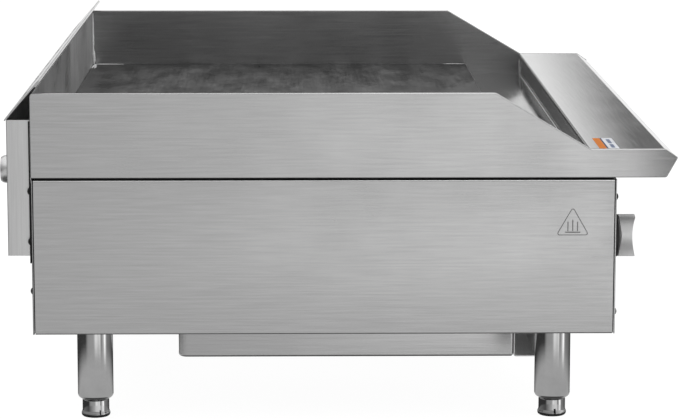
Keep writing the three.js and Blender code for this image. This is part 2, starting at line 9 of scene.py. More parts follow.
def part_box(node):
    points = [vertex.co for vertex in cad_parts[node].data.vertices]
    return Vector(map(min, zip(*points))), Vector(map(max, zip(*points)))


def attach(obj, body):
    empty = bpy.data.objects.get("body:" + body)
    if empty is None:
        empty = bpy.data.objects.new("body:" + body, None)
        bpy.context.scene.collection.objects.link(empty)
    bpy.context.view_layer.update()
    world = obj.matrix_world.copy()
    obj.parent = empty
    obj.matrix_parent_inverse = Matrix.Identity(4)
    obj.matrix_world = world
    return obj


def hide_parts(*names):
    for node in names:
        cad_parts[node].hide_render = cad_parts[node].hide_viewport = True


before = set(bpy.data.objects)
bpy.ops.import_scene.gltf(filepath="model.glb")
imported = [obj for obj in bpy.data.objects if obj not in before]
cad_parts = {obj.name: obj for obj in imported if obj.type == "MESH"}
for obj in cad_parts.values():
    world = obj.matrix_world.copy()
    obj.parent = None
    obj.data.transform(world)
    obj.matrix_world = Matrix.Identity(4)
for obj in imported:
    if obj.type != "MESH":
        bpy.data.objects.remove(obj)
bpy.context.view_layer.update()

# The outlines below are in millimetres in the body's own frame: y is 0 at the back of the body and
# falls towards the cook, z is 0 at the body's bottom edge. MM and ORIGIN carry them into the frame.
MM = 0.001
ORIGIN = Vector((0.0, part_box("rear_panel")[1].y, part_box("left_side_panel")[0].z))


def extent(node):
    """Lowest and highest corner of a CAD node, in the outlines' millimetres."""
    return [(corner - ORIGIN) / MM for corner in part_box(node)]


HALF = extent("right_side_panel")[1].x
FRONT = extent("control_panel")[0].y
BODY_TOP = extent("left_side_panel")[1].z
TOP_BASE = extent("griddle_plate")[0].z
PLATE_TOP = extent("griddle_plate")[1].z
PLATE_FRONT = extent("griddle_plate")[0].y
PLATE_REAR = extent("griddle_plate")[1].y
PLATE_HALF = extent("griddle_plate")[1].x
COUNTER = -ORIGIN.z / MM
SHEET = 1.5
GAP = 0.3
GUARD_TOP = 254.0
TROUGH_FRONT = -581.0
SHELF_TOP = 195.5
SHELF_NOSE = -672.1
NOSE_TOP = 186.4  # the height at which the shelf's lip turns under
SHELF_BEND = -658.6
LIP_END = -660.5  # the foot of the lip
GUARD_SLOPE = -482.0  # where the guards' tops start to slope down
FLANGE = 15.0
JOINT = 1.0  # the open line between the side sheets and the panels
BODY = "griddle_body"
LEFT, RIGHT = -1, 1
KNOBS = (1, 2, 3)
FEET = ("front_left", "front_right", "rear_left", "rear_right")


# ---- Outlines ----


def fillet(points, radius, closed=False, steps=6):
    """The points with each corner turned into an arc. radius is one number or one for each point."""
    radii = radius if isinstance(radius, (list, tuple)) else [radius] * len(points)
    line = [Vector(p) for p in points]
    made = []
    for i, corner in enumerate(line):
        end = not closed and i in (0, len(line) - 1)
        if end or not radii[i]:
            made.append(corner)
            continue
        before = (line[i - 1] - corner).normalized()
        after = (line[(i + 1) % len(line)] - corner).normalized()
        half = before.angle(after) / 2
        if half > math.radians(89.5):
            made.append(corner)
            continue
        middle = (before + after).normalized()
        centre = corner + middle * (radii[i] / math.sin(half))
        start = corner + before * (radii[i] / math.tan(half)) - centre
        stop = corner + after * (radii[i] / math.tan(half)) - centre
        turn = start.angle_signed(stop)
        for k in range(steps + 1):
            made.append(centre + Matrix.Rotation(-turn * k / steps, 2) @ start)
    return made


def offset(points, distance):
    """An open line moved to its left."""
    line = [Vector(p) for p in points]
    normals = [(b - a).normalized() for a, b in zip(line, line[1:])]
    normals = [Vector((-n.y, n.x)) for n in normals]
    moved = []
    for i, point in enumerate(line):
        one, two = normals[max(i - 1, 0)], normals[min(i, len(normals) - 1)]
        moved.append(point + (one + two) / (1 + one.dot(two)) * distance)
    return moved


def bent_sheet(points, radius=2.0, thickness=SHEET):
    """The section of a sheet bent along a line of points, its thickness on the line's left."""
    middle = fillet(offset(points, thickness / 2), radius)
    return offset(middle, -thickness / 2) + offset(middle, thickness / 2)[::-1]


def rectangle(u, v, radius=0.0, steps=6):
    corners = [(u[0], v[0]), (u[1], v[0]), (u[1], v[1]), (u[0], v[1])]
    return fillet(corners, radius, closed=True, steps=steps) if radius else [Vector(c) for c in corners]


# ---- Meshes ----

AXES = {"x": (1, 2, 0), "y": (0, 2, 1), "z": (0, 1, 2)}


def place(axis, u, v, w):
    point = [0.0, 0.0, 0.0]
    for index, value in zip(AXES[axis], (u, v, w)):
        point[index] = value
    return ORIGIN + Vector(point) * MM


def loops_to_mesh(bm, loops, capped=True):
    """Skins closed loops of points, in order, and caps the first and the last."""
    rings = [[bm.verts.new(p) for p in loop] for loop in loops]
    for low, high in zip(rings, rings[1:]):
        for i in range(len(low)):
            k = (i + 1) % len(low)
            bm.faces.new((low[i], low[k], high[k], high[i]))
    if capped:
        bm.faces.new(rings[0][::-1])
        bm.faces.new(rings[-1])
    return rings


def prism(bm, outline, axis, low, high):
    loops_to_mesh(bm, [[place(axis, p[0], p[1], w) for p in outline] for w in (low, high)])


def frame_ring(bm, outer, inner, axis, low, high):
    """A closed band between two outlines that have the same number of points."""
    loops = [(outer, low), (outer, high), (inner, high), (inner, low), (outer, low)]
    rings = [[place(axis, p[0], p[1], w) for p in line] for line, w in loops[:-1]]
    verts = [[bm.verts.new(p) for p in ring] for ring in rings]
    count = len(outer)
    for r in range(4):
        this, following = verts[r], verts[(r + 1) % 4]
        for i in range(count):
            k = (i + 1) % count
            bm.faces.new((this[i], this[k], following[k], following[i]))


def lathe(bm, profile, axis, centre, segments=64):
    """A profile of (radius, height) turned about an axis; it starts and ends on it, or closes."""
    u, v, w = (Vector(centre)[index] for index in AXES[axis])
    rings = []
    for radius, height in profile:
        if radius < 1e-6:
            rings.append([bm.verts.new(place(axis, u, v, w + height))])
            continue
        angles = [2 * math.pi * i / segments for i in range(segments)]
        ring = [(u + radius * math.cos(a), v + radius * math.sin(a)) for a in angles]
        rings.append([bm.verts.new(place(axis, a, b, w + height)) for a, b in ring])
    closed = len(rings[0]) > 1
    pairs = list(zip(rings, rings[1:])) + ([(rings[-1], rings[0])] if closed else [])
    for low, high in pairs:
        for i in range(segments):
            k = (i + 1) % segments
            if len(low) == 1:
                bm.faces.new((low[0], high[k], high[i]))
            elif len(high) == 1:
                bm.faces.new((low[i], low[k], high[0]))
            else:
                bm.faces.new((low[i], low[k], high[k], high[i]))


def tube(bm, path, radius, sides=16):
    """A round bar along a path of points in millimetres; radius is a number or one for each point."""
    points = [ORIGIN + Vector(p) * MM for p in path]
    radii = radius if isinstance(radius, list) else [radius] * len(points)
    side = None
    loops = []
    for i, point in enumerate(points):
        along = (points[min(i + 1, len(points) - 1)] - points[max(i - 1, 0)]).normalized()
        if side is None:
            side = along.orthogonal().normalized()
        side = (side - along * side.dot(along)).normalized()
        other = along.cross(side)
        angles = [2 * math.pi * k / sides for k in range(sides)]
        reach = radii[i] * MM
        loops.append([point + (side * math.cos(a) + other * math.sin(a)) * reach for a in angles])
    loops_to_mesh(bm, loops)


def map_grain(mesh, grain):
    """U runs across the grain on every face, so a shader's tangent does too."""
    layer = mesh.uv_layers.new(name="grain")
    for face in mesh.polygons:
        along = grain - face.normal * grain.dot(face.normal)
        if along.length < 0.2:
            along = face.normal.orthogonal()
        along.normalize()
        across = along.cross(face.normal)
        for index in face.loop_indices:
            point = mesh.vertices[mesh.loops[index].vertex_index].co
            layer.data[index].uv = (point.dot(across), point.dot(along))


def sharpen(mesh, degrees):
    """Smooth shading, with an edge kept sharp where its faces meet at more than that angle."""
    bm = bmesh.new()
    bm.from_mesh(mesh)
    for face in bm.faces:
        face.smooth = True
    for edge in bm.edges:
        angle = edge.calc_face_angle(math.pi) if len(edge.link_faces) == 2 else math.pi
        edge.smooth = angle < math.radians(degrees)
    bm.to_mesh(mesh)
    bm.free()


def finish_mesh(obj, grain=(0, 1, 0), degrees=32):
    bm = bmesh.new()
    bm.from_mesh(obj.data)
    bmesh.ops.remove_doubles(bm, verts=bm.verts, dist=1e-6)
    bmesh.ops.recalc_face_normals(bm, faces=bm.faces)
    bm.to_mesh(obj.data)
    bm.free()
    for layer in list(obj.data.uv_layers):
        obj.data.uv_layers.remove(layer)
    map_grain(obj.data, Vector(grain))
    sharpen(obj.data, degrees)


def piece(name, bm, material, body=BODY, replaces=(), grain=(0, 1, 0), edge=0.0):
    """A new mesh object that rides a body. edge is the width in mm of its rounded edges."""
    mesh = bpy.data.meshes.new(name)
    bm.to_mesh(mesh)
    bm.free()
    obj = bpy.data.objects.new(name, mesh)
    bpy.context.scene.collection.objects.link(obj)
    mesh.materials.append(material)
    finish_mesh(obj, grain)
    if body:
        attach(obj, body)
    if replaces:
        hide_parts(*replaces)
    if edge:
        round_edges(obj, edge)
    return obj


def round_edges(obj, width, segments=3):
    bevel = obj.modifiers.new("rounded_edges", "BEVEL")
    bevel.width = width * MM
    bevel.segments = segments
    bevel.limit_method = "ANGLE"
    bevel.angle_limit = math.radians(32)
    bevel.harden_normals = True
    bevel.use_clamp_overlap = True


def carve(obj, build, grain=(0, 1, 0)):
    """Cuts away what build(bm) makes."""
    bm = bmesh.new()
    build(bm)
    bmesh.ops.recalc_face_normals(bm, faces=bm.faces)
    mesh = bpy.data.meshes.new("cutter")
    bm.to_mesh(mesh)
    bm.free()
    cutter = bpy.data.objects.new("cutter", mesh)
    bpy.context.scene.collection.objects.link(cutter)
    held = [(m.name, m.type) for m in obj.modifiers]
    assert not held, "carve before rounding the edges"
    boolean = obj.modifiers.new("cut", "BOOLEAN")
    boolean.operation = "DIFFERENCE"
    boolean.solver = "EXACT"
    boolean.object = cutter
    graph = bpy.context.evaluated_depsgraph_get()
    cut = bpy.data.meshes.new_from_object(obj.evaluated_get(graph), depsgraph=graph)
    obj.modifiers.remove(boolean)
    old = obj.data
    obj.data = cut
    cut.name = old.name
    bpy.data.meshes.remove(old)
    bpy.data.objects.remove(cutter)
    bpy.data.meshes.remove(mesh)
    finish_mesh(obj, grain)


# ---- Materials ----


def add_node(tree, kind, inputs=None, **properties):
    node = tree.nodes.new(kind)
    for key, value in properties.items():
        setattr(node, key, value)
    for key, value in (inputs or {}).items():
        if isinstance(value, bpy.types.NodeSocket):
            tree.links.new(value, node.inputs[key])
        else:
            node.inputs[key].default_value = value
    return node


def start_material(name, **sockets):
    material = bpy.data.materials.new(name)
    material.use_nodes = True
    tree = material.node_tree
    shader = tree.nodes["Principled BSDF"]
    for key, value in sockets.items():
        shader.inputs[key.replace("_", " ")].default_value = value
    return material, tree, shader


def noise(tree, scale, detail=3.0, stretch=(1, 1, 1), roughness=0.55):
    coordinates = add_node(tree, "ShaderNodeTexCoord").outputs["Object"]
    mapping = add_node(tree, "ShaderNodeMapping", {"Vector": coordinates, "Scale": stretch})
    inputs = {"Vector": mapping.outputs[0], "Scale": scale, "Detail": detail, "Roughness": roughness}
    return add_node(tree, "ShaderNodeTexNoise", inputs).outputs["Fac"]


def ramp(tree, fac, low, high, start=0.3, end=0.7):
    inputs = {"Value": fac, "From Min": start, "From Max": end, "To Min": low, "To Max": high}
    return add_node(tree, "ShaderNodeMapRange", inputs).outputs[0]


def math_node(tree, operation, a, b):
    return add_node(tree, "ShaderNodeMath", {0: a, 1: b}, operation=operation).outputs[0]


MIX_A, MIX_B, MIX_RESULT = 6, 7, 2  # the colour sockets of a Mix node


def tinted(tree, fac, dark, light):
    mix = add_node(tree, "ShaderNodeMix", data_type="RGBA")
    tree.links.new(fac, mix.inputs["Factor"])
    mix.inputs[MIX_A].default_value = (*dark, 1)
    mix.inputs[MIX_B].default_value = (*light, 1)
    return mix.outputs[MIX_RESULT]


def grey(level, warmth=0.0):
    return (level * (1 + warmth), level, level * (1 - warmth))


def brushed(name, grain, level=0.62, roughness=0.22, spread=0.04, bump=0.08, anisotropy=0.6,
            streak=0.06, metallic=1.0):
    """Sheet steel with its grain along an axis: fine lines, longer streaks and hand-sized smudges."""
    material, tree, shader = start_material(name, Metallic=metallic, Anisotropic=anisotropy)
    along = {"x": (0.012, 1, 1), "y": (1, 0.012, 1), "z": (1, 1, 0.012)}[grain]
    short_along = {"x": (0.04, 1, 1), "y": (1, 0.04, 1), "z": (1, 1, 0.04)}[grain]
    broad_along = {"x": (0.2, 1, 1), "y": (1, 0.2, 1), "z": (1, 1, 0.2)}[grain]
    lines = noise(tree, 900, 2.0, along)
    streaks = noise(tree, 420, 4.0, short_along)
    broad = noise(tree, 14, 3.0, broad_along)
    smudges = noise(tree, 9, 5.0)
    fine = math_node(tree, "ADD", math_node(tree, "MULTIPLY", lines, 0.45),
                     math_node(tree, "MULTIPLY", streaks, 0.55))
    both = math_node(tree, "ADD", math_node(tree, "MULTIPLY", fine, 0.88),
                     math_node(tree, "MULTIPLY", broad, 0.12))
    dark, light = (grey(level * factor) for factor in (1 - streak, 1 + streak))
    colour = tinted(tree, ramp(tree, both, 0, 1, 0.38, 0.62), dark, light)
    tree.links.new(colour, shader.inputs["Base Color"])
    rough = math_node(tree, "ADD", ramp(tree, smudges, roughness - spread, roughness + spread),
                      ramp(tree, lines, -0.03, 0.03))
    tree.links.new(rough, shader.inputs["Roughness"])
    tangent = add_node(tree, "ShaderNodeTangent", direction_type="UV_MAP", uv_map="grain")
    tree.links.new(tangent.outputs[0], shader.inputs["Tangent"])
    inputs = {"Strength": bump, "Distance": 0.0004, "Height": fine}
    tree.links.new(add_node(tree, "ShaderNodeBump", inputs).outputs[0], shader.inputs["Normal"])
    return material


def plate_steel():
    """Ground and oiled plate: dark blotches, faint grinding lines, small bright specks."""
    material, tree, shader = start_material("griddle_plate_steel", Metallic=1.0)
    shader.inputs["Specular Tint"].default_value = (0.4, 0.4, 0.4, 1)
    blotches = noise(tree, 24, 8.0, (0.5, 1.3, 1), 0.72)
    lines = noise(tree, 420, 3.0, (0.03, 1, 1))
    specks = noise(tree, 420, 2.0)
    base = math_node(tree, "ADD", math_node(tree, "MULTIPLY", blotches, 0.75),
                     math_node(tree, "MULTIPLY", lines, 0.25))
    dark = tinted(tree, ramp(tree, base, 0, 1, 0.38, 0.64), grey(0.25), grey(0.37))
    mix = add_node(tree, "ShaderNodeMix", data_type="RGBA")
    tree.links.new(ramp(tree, specks, 0, 0.5, 0.73, 0.78), mix.inputs["Factor"])
    tree.links.new(dark, mix.inputs[MIX_A])
    mix.inputs[MIX_B].default_value = (*grey(0.5), 1)
    tree.links.new(mix.outputs[MIX_RESULT], shader.inputs["Base Color"])
    tree.links.new(ramp(tree, base, 0.26, 0.46), shader.inputs["Roughness"])
    inputs = {"Strength": 0.25, "Distance": 0.0005, "Height": base}
    tree.links.new(add_node(tree, "ShaderNodeBump", inputs).outputs[0], shader.inputs["Normal"])
    return material


def plain_metal(name, colour, roughness, scale=60.0, spread=0.05, bump=0.08, metallic=1.0):
    """Metal or plastic with uneven colour and roughness and a faint texture."""
    material, tree, shader = start_material(name, Metallic=metallic)
    coarse = noise(tree, scale, 5.0)
    fine = noise(tree, scale * 12, 3.0)
    dark, light = ([c * factor for c in colour] for factor in (0.88, 1.08))
    tree.links.new(tinted(tree, ramp(tree, coarse, 0, 1), dark, light), shader.inputs["Base Color"])
    tree.links.new(ramp(tree, coarse, roughness - spread, roughness + spread), shader.inputs["Roughness"])
    inputs = {"Strength": bump, "Distance": 0.0003, "Height": fine}
    tree.links.new(add_node(tree, "ShaderNodeBump", inputs).outputs[0], shader.inputs["Normal"])
    return material


side_steel = brushed("side_panel_steel", "y")
front_steel = brushed("front_panel_steel", "x")
shelf_steel = brushed("shelf_steel", "x", roughness=0.12, anisotropy=0.5, spread=0.03, streak=0.05)
trough_steel = brushed("trough_steel", "x", level=0.36, roughness=0.11, anisotropy=0.3, bump=0.05)
guard_face = brushed("guard_inner_steel", "y", level=0.42, roughness=0.2, streak=0.12)
guard_inner = brushed("rear_guard_steel", "z", level=0.75, roughness=0.36, spread=0.12, streak=0.2)
flue_steel = brushed("flue_steel", "z", level=0.8, roughness=0.34, anisotropy=0.5)
plate_material = plate_steel()
plate_edge = plain_metal("plate_ground_edge", grey(0.35), 0.3, 200, 0.08, 0.2)
chrome = plain_metal("leg_chrome", grey(0.6), 0.07, 30, 0.02, 0.02)
satin = brushed("knob_satin", "z", level=1.0, roughness=0.3, anisotropy=0.0, streak=0.03, metallic=0.7)
pull_steel = brushed("tray_pull_steel", "x", level=0.85, roughness=0.45, anisotropy=0.0, metallic=0.5)
black_plastic = plain_metal("black_plastic", grey(0.022), 0.42, 90, 0.08, 0.15, 0.0)
black_rubber = plain_metal("pad_black", grey(0.012), 0.6, 90, 0.08, 0.2, 0.0)
seal_black = plain_metal("seal_black", grey(0.006), 0.9, 90, 0.05, 0.1, 0.0)
inner_steel = plain_metal("inner_sheet_steel", grey(0.42), 0.45, 40, 0.1, 0.1)
brass = plain_metal("plain_brass", (0.55, 0.38, 0.14), 0.32, 80)
black_pipe = plain_metal("black_iron_pipe", grey(0.03), 0.5, 70, 0.1, 0.3, 0.6)
# Welds get a near-white, non-metallic colour: a painted glint, standing in for the specular highlights of
# bright steel beads.
weld_painted_glint = plain_metal("weld_painted_glint", grey(0.95), 0.45, 500, 0.12, 0.5, 0.0)
dark_screw = plain_metal("dark_screw_metal", grey(0.05), 0.3, 200, 0.08, 0.1)
screw_metal = plain_metal("screw_metal", grey(0.4), 0.25, 200, 0.08, 0.1)
etched = plain_metal("etched_mark", grey(0.34), 0.5, 200, 0.08, 0.1, 0.5)
label_orange = plain_metal("label_orange", (0.72, 0.2, 0.01), 0.7, 120, 0.05, 0.05, 0.0)
label_white = plain_metal("label_white", (0.8, 0.82, 0.86), 0.7, 120, 0.05, 0.05, 0.0)
label_ink = plain_metal("label_ink", (0.16, 0.2, 0.32), 0.5, 120, 0.05, 0.05, 0.0)
nickel = plain_metal("inlet_nickel", grey(0.85), 0.32, 60, 0.05, 0.06)


# ---- Welded top ----

GUARD_OUTLINE = fillet(
    [
        (0, TOP_BASE),
        (0, GUARD_TOP),
        (GUARD_SLOPE, GUARD_TOP),
        (TROUGH_FRONT, SHELF_TOP),
        (SHELF_BEND, SHELF_TOP),
        (SHELF_NOSE, NOSE_TOP),
        (LIP_END, TOP_BASE),
    ],
    [0, 4, 5, 5, 6, 1.2, 3.5],
    closed=True,
)


def splash_guard(name, side):
    bm = bmesh.new()
    low, high = sorted((side * HALF, side * (PLATE_HALF + GAP)))
    prism(bm, GUARD_OUTLINE, "x", low, high)
    obj = piece(f"{name}_guard_plate", bm, side_steel, replaces=[f"{name}_splash_guard"])
    obj.data.materials.append(guard_face)
    for face in obj.data.polygons:
        if face.normal.x * side < -0.9:
            face.material_index = 1
    round_edges(obj, 1.0)
    return obj


def rear_guard():
    low, high = extent("rear_splash_guard")
    bm = bmesh.new()
    prism(bm, rectangle((low.y, high.y), (low.z, high.z)), "x", low.x, high.x)
    covers = ["rear_splash_guard"]
    return piece("rear_guard_sheet", bm, guard_inner, replaces=covers, edge=0.4, grain=(0, 0, 1))


def plate():
    bm = bmesh.new()
    section = fillet(
        [(PLATE_FRONT, TOP_BASE), (PLATE_FRONT, PLATE_TOP), (PLATE_REAR, PLATE_TOP), (PLATE_REAR, TOP_BASE)],
        [0, 1.1, 0.3, 0],
        closed=True,
    )
    prism(bm, section, "x", -PLATE_HALF, PLATE_HALF)
    obj = piece("griddle_plate_ground", bm, plate_material, replaces=["griddle_plate"])
    obj.data.materials.append(plate_edge)
    for face in obj.data.polygons:
        if face.normal.y < -0.2 and face.normal.z > 0.2:
            face.material_index = 1
    return obj


CHUTE_LOW, CHUTE_HIGH = extent("grease_chute")
CHUTE_WALL = 2.0
DRAIN_X = (CHUTE_LOW.x + CHUTE_WALL, CHUTE_HIGH.x - CHUTE_WALL)
DRAIN_Y = (CHUTE_LOW.y + CHUTE_WALL, CHUTE_HIGH.y - CHUTE_WALL)


def trough():
    bm = bmesh.new()
    wall = SHELF_TOP - SHEET - 2 * GAP
    line = [(TROUGH_FRONT - SHEET, wall), (TROUGH_FRONT - SHEET, TOP_BASE), (PLATE_FRONT - GAP, TOP_BASE)]
    prism(bm, bent_sheet(line, 1.6), "x", -PLATE_HALF, PLATE_HALF)
    obj = piece("grease_trough_sheet", bm, trough_steel, replaces=["grease_trough"], grain=(1, 0, 0))
    hole = rectangle(DRAIN_X, DRAIN_Y, 4.0)
    carve(obj, lambda cutter: prism(cutter, hole, "z", TOP_BASE - 2, TOP_BASE + 4), grain=(1, 0, 0))
    round_edges(obj, 0.3, 2)
    return obj


def shelf():
    bm = bmesh.new()
    rear = TROUGH_FRONT + 2.2
    fold = 7.0
    return_edge = -612.0
    line = [
        (rear, SHELF_TOP - fold),
        (rear, SHELF_TOP - GAP),
        (SHELF_BEND, SHELF_TOP - GAP),
        (SHELF_NOSE + 0.5, 186.2),
        (-660.2, TOP_BASE + GAP),
        (return_edge, TOP_BASE + GAP),
    ]
    prism(bm, bent_sheet(line, [0, 2.4, 4, 1.6, 3, 0]), "x", -PLATE_HALF, PLATE_HALF)
    return piece("front_shelf_sheet", bm, shelf_steel, replaces=["front_shelf"], grain=(1, 0, 0), edge=0.3)


splash_guard("left", LEFT)
splash_guard("right", RIGHT)
rear_guard()
plate()
trough()
shelf()


# ---- Flue ----

FLUE_LOW, FLUE_HIGH = extent("flue_box")
FLUE_INSET = 12.0
FLUE_FLOOR = 82.0
DEFLECTOR_HEAD = Vector((-10.8, 267.0))
HEM = 8.0
SLOTS = 6
SLOT_PITCH = 140.0
SLOT_HALF = (55.0, 6.0)
SLOT_Y = 13.0  # how far behind the body the slots' middle lies


def flue_box():
    half = HALF - FLUE_INSET
    thin = 1.2
    bm = bmesh.new()
    top = FLUE_HIGH.z
    back = FLUE_HIGH.y
    wall = [(GAP, FLUE_FLOOR - 6), (GAP, FLUE_FLOOR), (back, FLUE_FLOOR), (back, top)]
    prism(bm, bent_sheet(wall, [0, 1.2, 1.5, 0], thin), "x", -half + thin + 0.2, half - thin - 0.2)
    for side in (LEFT, RIGHT):
        inner, outer = side * (half - thin), side * half
        corners = [(inner, GAP), (outer, GAP), (outer, back), (inner, back)]
        prism(bm, fillet(corners, [0, 0, thin - 0.1, 0], closed=True), "z", FLUE_FLOOR, top)
        flange = rectangle(sorted((outer, side * (half + 10))), (GAP, GAP + thin))
        prism(bm, flange, "z", FLUE_FLOOR - 6, 160)
    return piece("flue_box_sheets", bm, flue_steel, replaces=["flue_box"], grain=(0, 0, 1), edge=0.3)


def flue_deflector():
    foot = Vector((FLUE_HIGH.y, FLUE_HIGH.z + GAP))
    head = DEFLECTOR_HEAD
    along = (head - foot).normalized()
    hem = head - along * HEM
    bm = bmesh.new()
    left = Vector((-along.y, along.x))
    section = [foot, hem, hem + left * SHEET, head + left * SHEET, head - left * SHEET, foot - left * SHEET]
    rounded = fillet(section, [0, 0, 0.4, 1.2, 1.2, 0.4], closed=True, steps=4)
    prism(bm, rounded, "x", -HALF, HALF)
    obj = piece("flue_deflector_sheet", bm, shelf_steel, replaces=["flue_deflector"], grain=(1, 0, 0))

    def slots(cutter):
        slope = math.atan2(along.y, along.x)
        middle = foot + along * ((foot.x - SLOT_Y) / -along.x)
        for i in range(SLOTS):
            centre = (i - (SLOTS - 1) / 2) * SLOT_PITCH
            long, wide = SLOT_HALF
            plan = rectangle((-long, long), (-wide, wide), 5.0)
            loops = []
            for height in (-5, 5):
                turned = [
                    ORIGIN + MM * Vector((
                        centre + p.x,
                        middle.x + p.y * math.cos(slope) - height * math.sin(slope),
                        middle.y + p.y * math.sin(slope) + height * math.cos(slope),
                    ))
                    for p in plan
                ]
                loops.append(turned)
            loops_to_mesh(cutter, loops)

    carve(obj, slots, grain=(1, 0, 0))
    round_edges(obj, 0.25, 2)
    return obj


def flue_seal(name, side):
    """The black strip that closes the joint between the flue and the body's side."""
    bm = bmesh.new()
    across = sorted((side * (HALF - 0.6), side * (HALF - 1.9)))
    prism(bm, rectangle(across, (0.2, 1.7), 0.4), "z", FLUE_FLOOR - 6, FLUE_HIGH.z)
    return piece(f"flue_seal_{name}", bm, seal_black)


flue_box()
flue_deflector()
flue_seal("left", LEFT)
flue_seal("right", RIGHT)


# ---- Lower body ----


MARK_CORNERS = ((-545.8, 104.6), (-580.6, 104.6), (-563.2, 135.0))
MARK_CENTRE = Vector((-563.2, 114.7))
MARK_BARS = ((-5.0, 10.0), (0.0, 12.0), (5.0, 10.0))  # each bar's shift and height
MARK_BAR_FOOT = 109.0


def triangle_mark(bm, deep, proud):
    """A plain triangle outline and three upright bars, between two depths in the left side sheet."""
    inner = [MARK_CENTRE + (Vector(c) - MARK_CENTRE) * 0.925 for c in MARK_CORNERS]
    outer_line = fillet(MARK_CORNERS, 2.2, closed=True)
    inner_line = fillet(inner, 1.5, closed=True)
    depth = (-HALF - proud, -HALF + deep)
    frame_ring(bm, outer_line, inner_line, "x", *depth)
    for shift, height in MARK_BARS:
        middle = MARK_CENTRE.x + shift
        bar = rectangle((middle - 0.5, middle + 0.5), (MARK_BAR_FOOT, MARK_BAR_FOOT + height), 0.4)
        prism(bm, bar, "x", *depth)
    line = rectangle((MARK_CENTRE.x - 8, MARK_CENTRE.x + 8), (107.2, 108.4), 0.5)
    prism(bm, line, "x", *depth)


def etched_triangle():
    """The dark floor of the carved mark."""
    bm = bmesh.new()
    triangle_mark(bm, 0.28, -0.12)
    return piece("etched_triangle", bm, etched)


def side_panel(name, side):
    bm = bmesh.new()
    inner, outer = side * (HALF - FLANGE), side * HALF
    line = [(inner, 0), (outer, 0), (outer, BODY_TOP), (inner, BODY_TOP)]
    prism(bm, bent_sheet(line, 1.1, SHEET * side), "y", FRONT + SHEET + JOINT, -SHEET - JOINT)
    across = sorted((inner, side * (HALF - SHEET - 0.4)))
    for edge in (FRONT + SHEET + JOINT, -2 * SHEET - JOINT):
        flange = rectangle(across, (SHEET + GAP, BODY_TOP - SHEET - GAP))
        prism(bm, flange, "y", edge, edge + SHEET)
    obj = piece(f"{name}_side_sheet", bm, side_steel, replaces=[f"{name}_side_panel"])
    if side == LEFT:
        carve(obj, lambda cutter: triangle_mark(cutter, 0.3, 1.0))
    round_edges(obj, 0.25, 2)
    return obj


def panel_face(bm, outside, inside):
    """A flat panel across the body, its upright edges rounded on the outside."""
    corners = [(-HALF, outside), (HALF, outside), (HALF, inside), (-HALF, inside)]
    prism(bm, fillet(corners, [1.4, 1.4, 0, 0], closed=True), "z", 0, BODY_TOP)


def control_panel():
    bm = bmesh.new()
    panel_face(bm, FRONT, FRONT + SHEET)
    inner = HALF - FLANGE - GAP
    flange = rectangle((FRONT + SHEET, FRONT + FLANGE), (BODY_TOP - SHEET, BODY_TOP))
    prism(bm, flange, "x", -inner, inner)
    obj = piece("control_panel_sheet", bm, front_steel, replaces=["control_panel"], grain=(1, 0, 0))

    def stem_holes(cutter):
        for i in KNOBS:
            low, high = extent(f"valve_stem_{i}")
            middle = (low + high) / 2
            lathe(cutter, [(0, -9), (7, -9), (7, 9), (0, 9)], "y", (middle.x, FRONT, middle.z), 32)

    carve(obj, stem_holes, grain=(1, 0, 0))
    round_edges(obj, 0.3, 2)
    return obj


FLUE_WINDOW = ((-380, 380), (90, 150))
PIPE_HOLE = 15.4


def rear_panel():
    bm = bmesh.new()
    panel_face(bm, 0, -SHEET)
    obj = piece("rear_panel_sheet", bm, front_steel, replaces=["rear_panel"], grain=(1, 0, 0))
    pipe = (extent("supply_pipe")[0] + extent("supply_pipe")[1]) / 2

    def openings(cutter):
        prism(cutter, rectangle(*FLUE_WINDOW, 4), "y", -9, 9)
        hole = [(0, -9), (PIPE_HOLE, -9), (PIPE_HOLE, 9), (0, 9)]
        lathe(cutter, hole, "y", (pipe.x, 0, pipe.z), 40)

    carve(obj, openings, grain=(1, 0, 0))
    round_edges(obj, 0.3, 2)
    return obj


side_panel("left", LEFT)
side_panel("right", RIGHT)
control_panel()
rear_panel()
etched_triangle()


# ---- Grease tray ----

TRAY_LOW, TRAY_HIGH = extent("grease_tray")
TRAY_HALF = 225.0


def grease_tray():
    """Rounded-rectangle loops from the middle of the bottom out, up to the rim and back inside."""
    front, rear = TRAY_LOW.y, TRAY_HIGH.y
    base, top = TRAY_LOW.z, TRAY_HIGH.z
    edge, floor_edge = 3.0, 30.0
    corners = (3.0, 3.0, 10.0, 10.0)  # the radii of the front corners, then the rear ones
    outside = [(edge * (1 - math.sin(a)), base + edge * (1 - math.cos(a)))
               for a in (math.radians(15 * k) for k in range(7))]
    inner_edge = edge - SHEET
    inside = [(SHEET + inner_edge * (1 - math.sin(a)), base + SHEET + inner_edge * (1 - math.cos(a)))
              for a in (math.radians(15 * k) for k in range(6, -1, -1))]
    stations = [(floor_edge, base)] + outside + [(0.0, top), (SHEET, top)] + inside
    stations += [(floor_edge, base + SHEET)]
    loops = []
    for inset, z in stations:
        square = rectangle((-TRAY_HALF + inset, TRAY_HALF - inset), (front + inset, rear - inset))
        plan = fillet(square, [max(corner - inset, 0.8) for corner in corners], closed=True)
        loops.append([place("z", p[0], p[1], z) for p in plan])
    bm = bmesh.new()
    loops_to_mesh(bm, loops)
    for side in (LEFT, RIGHT):
        rim = rectangle(sorted((side * (TRAY_HALF + 0.1), side * TRAY_HIGH.x)), (top - SHEET, top), 0.5)
        prism(bm, rim, "y", front + 12, rear - 12)
    return piece("grease_tray_pan", bm, side_steel, "grease_drawer", ["grease_tray"])


def tray_pull():
    """A sheet channel along the tray's front; its front wall is the pull."""
    low, high = extent("tray_handle")
    line = [(low.y, high.z), (low.y, low.z), (high.y, low.z), (high.y, high.z)]
    bm = bmesh.new()
    prism(bm, bent_sheet(line, 2.0), "x", low.x, high.x)
    covers = ["tray_handle"]
    return piece("tray_pull_channel", bm, pull_steel, "grease_drawer", covers, grain=(1, 0, 0), edge=0.3)


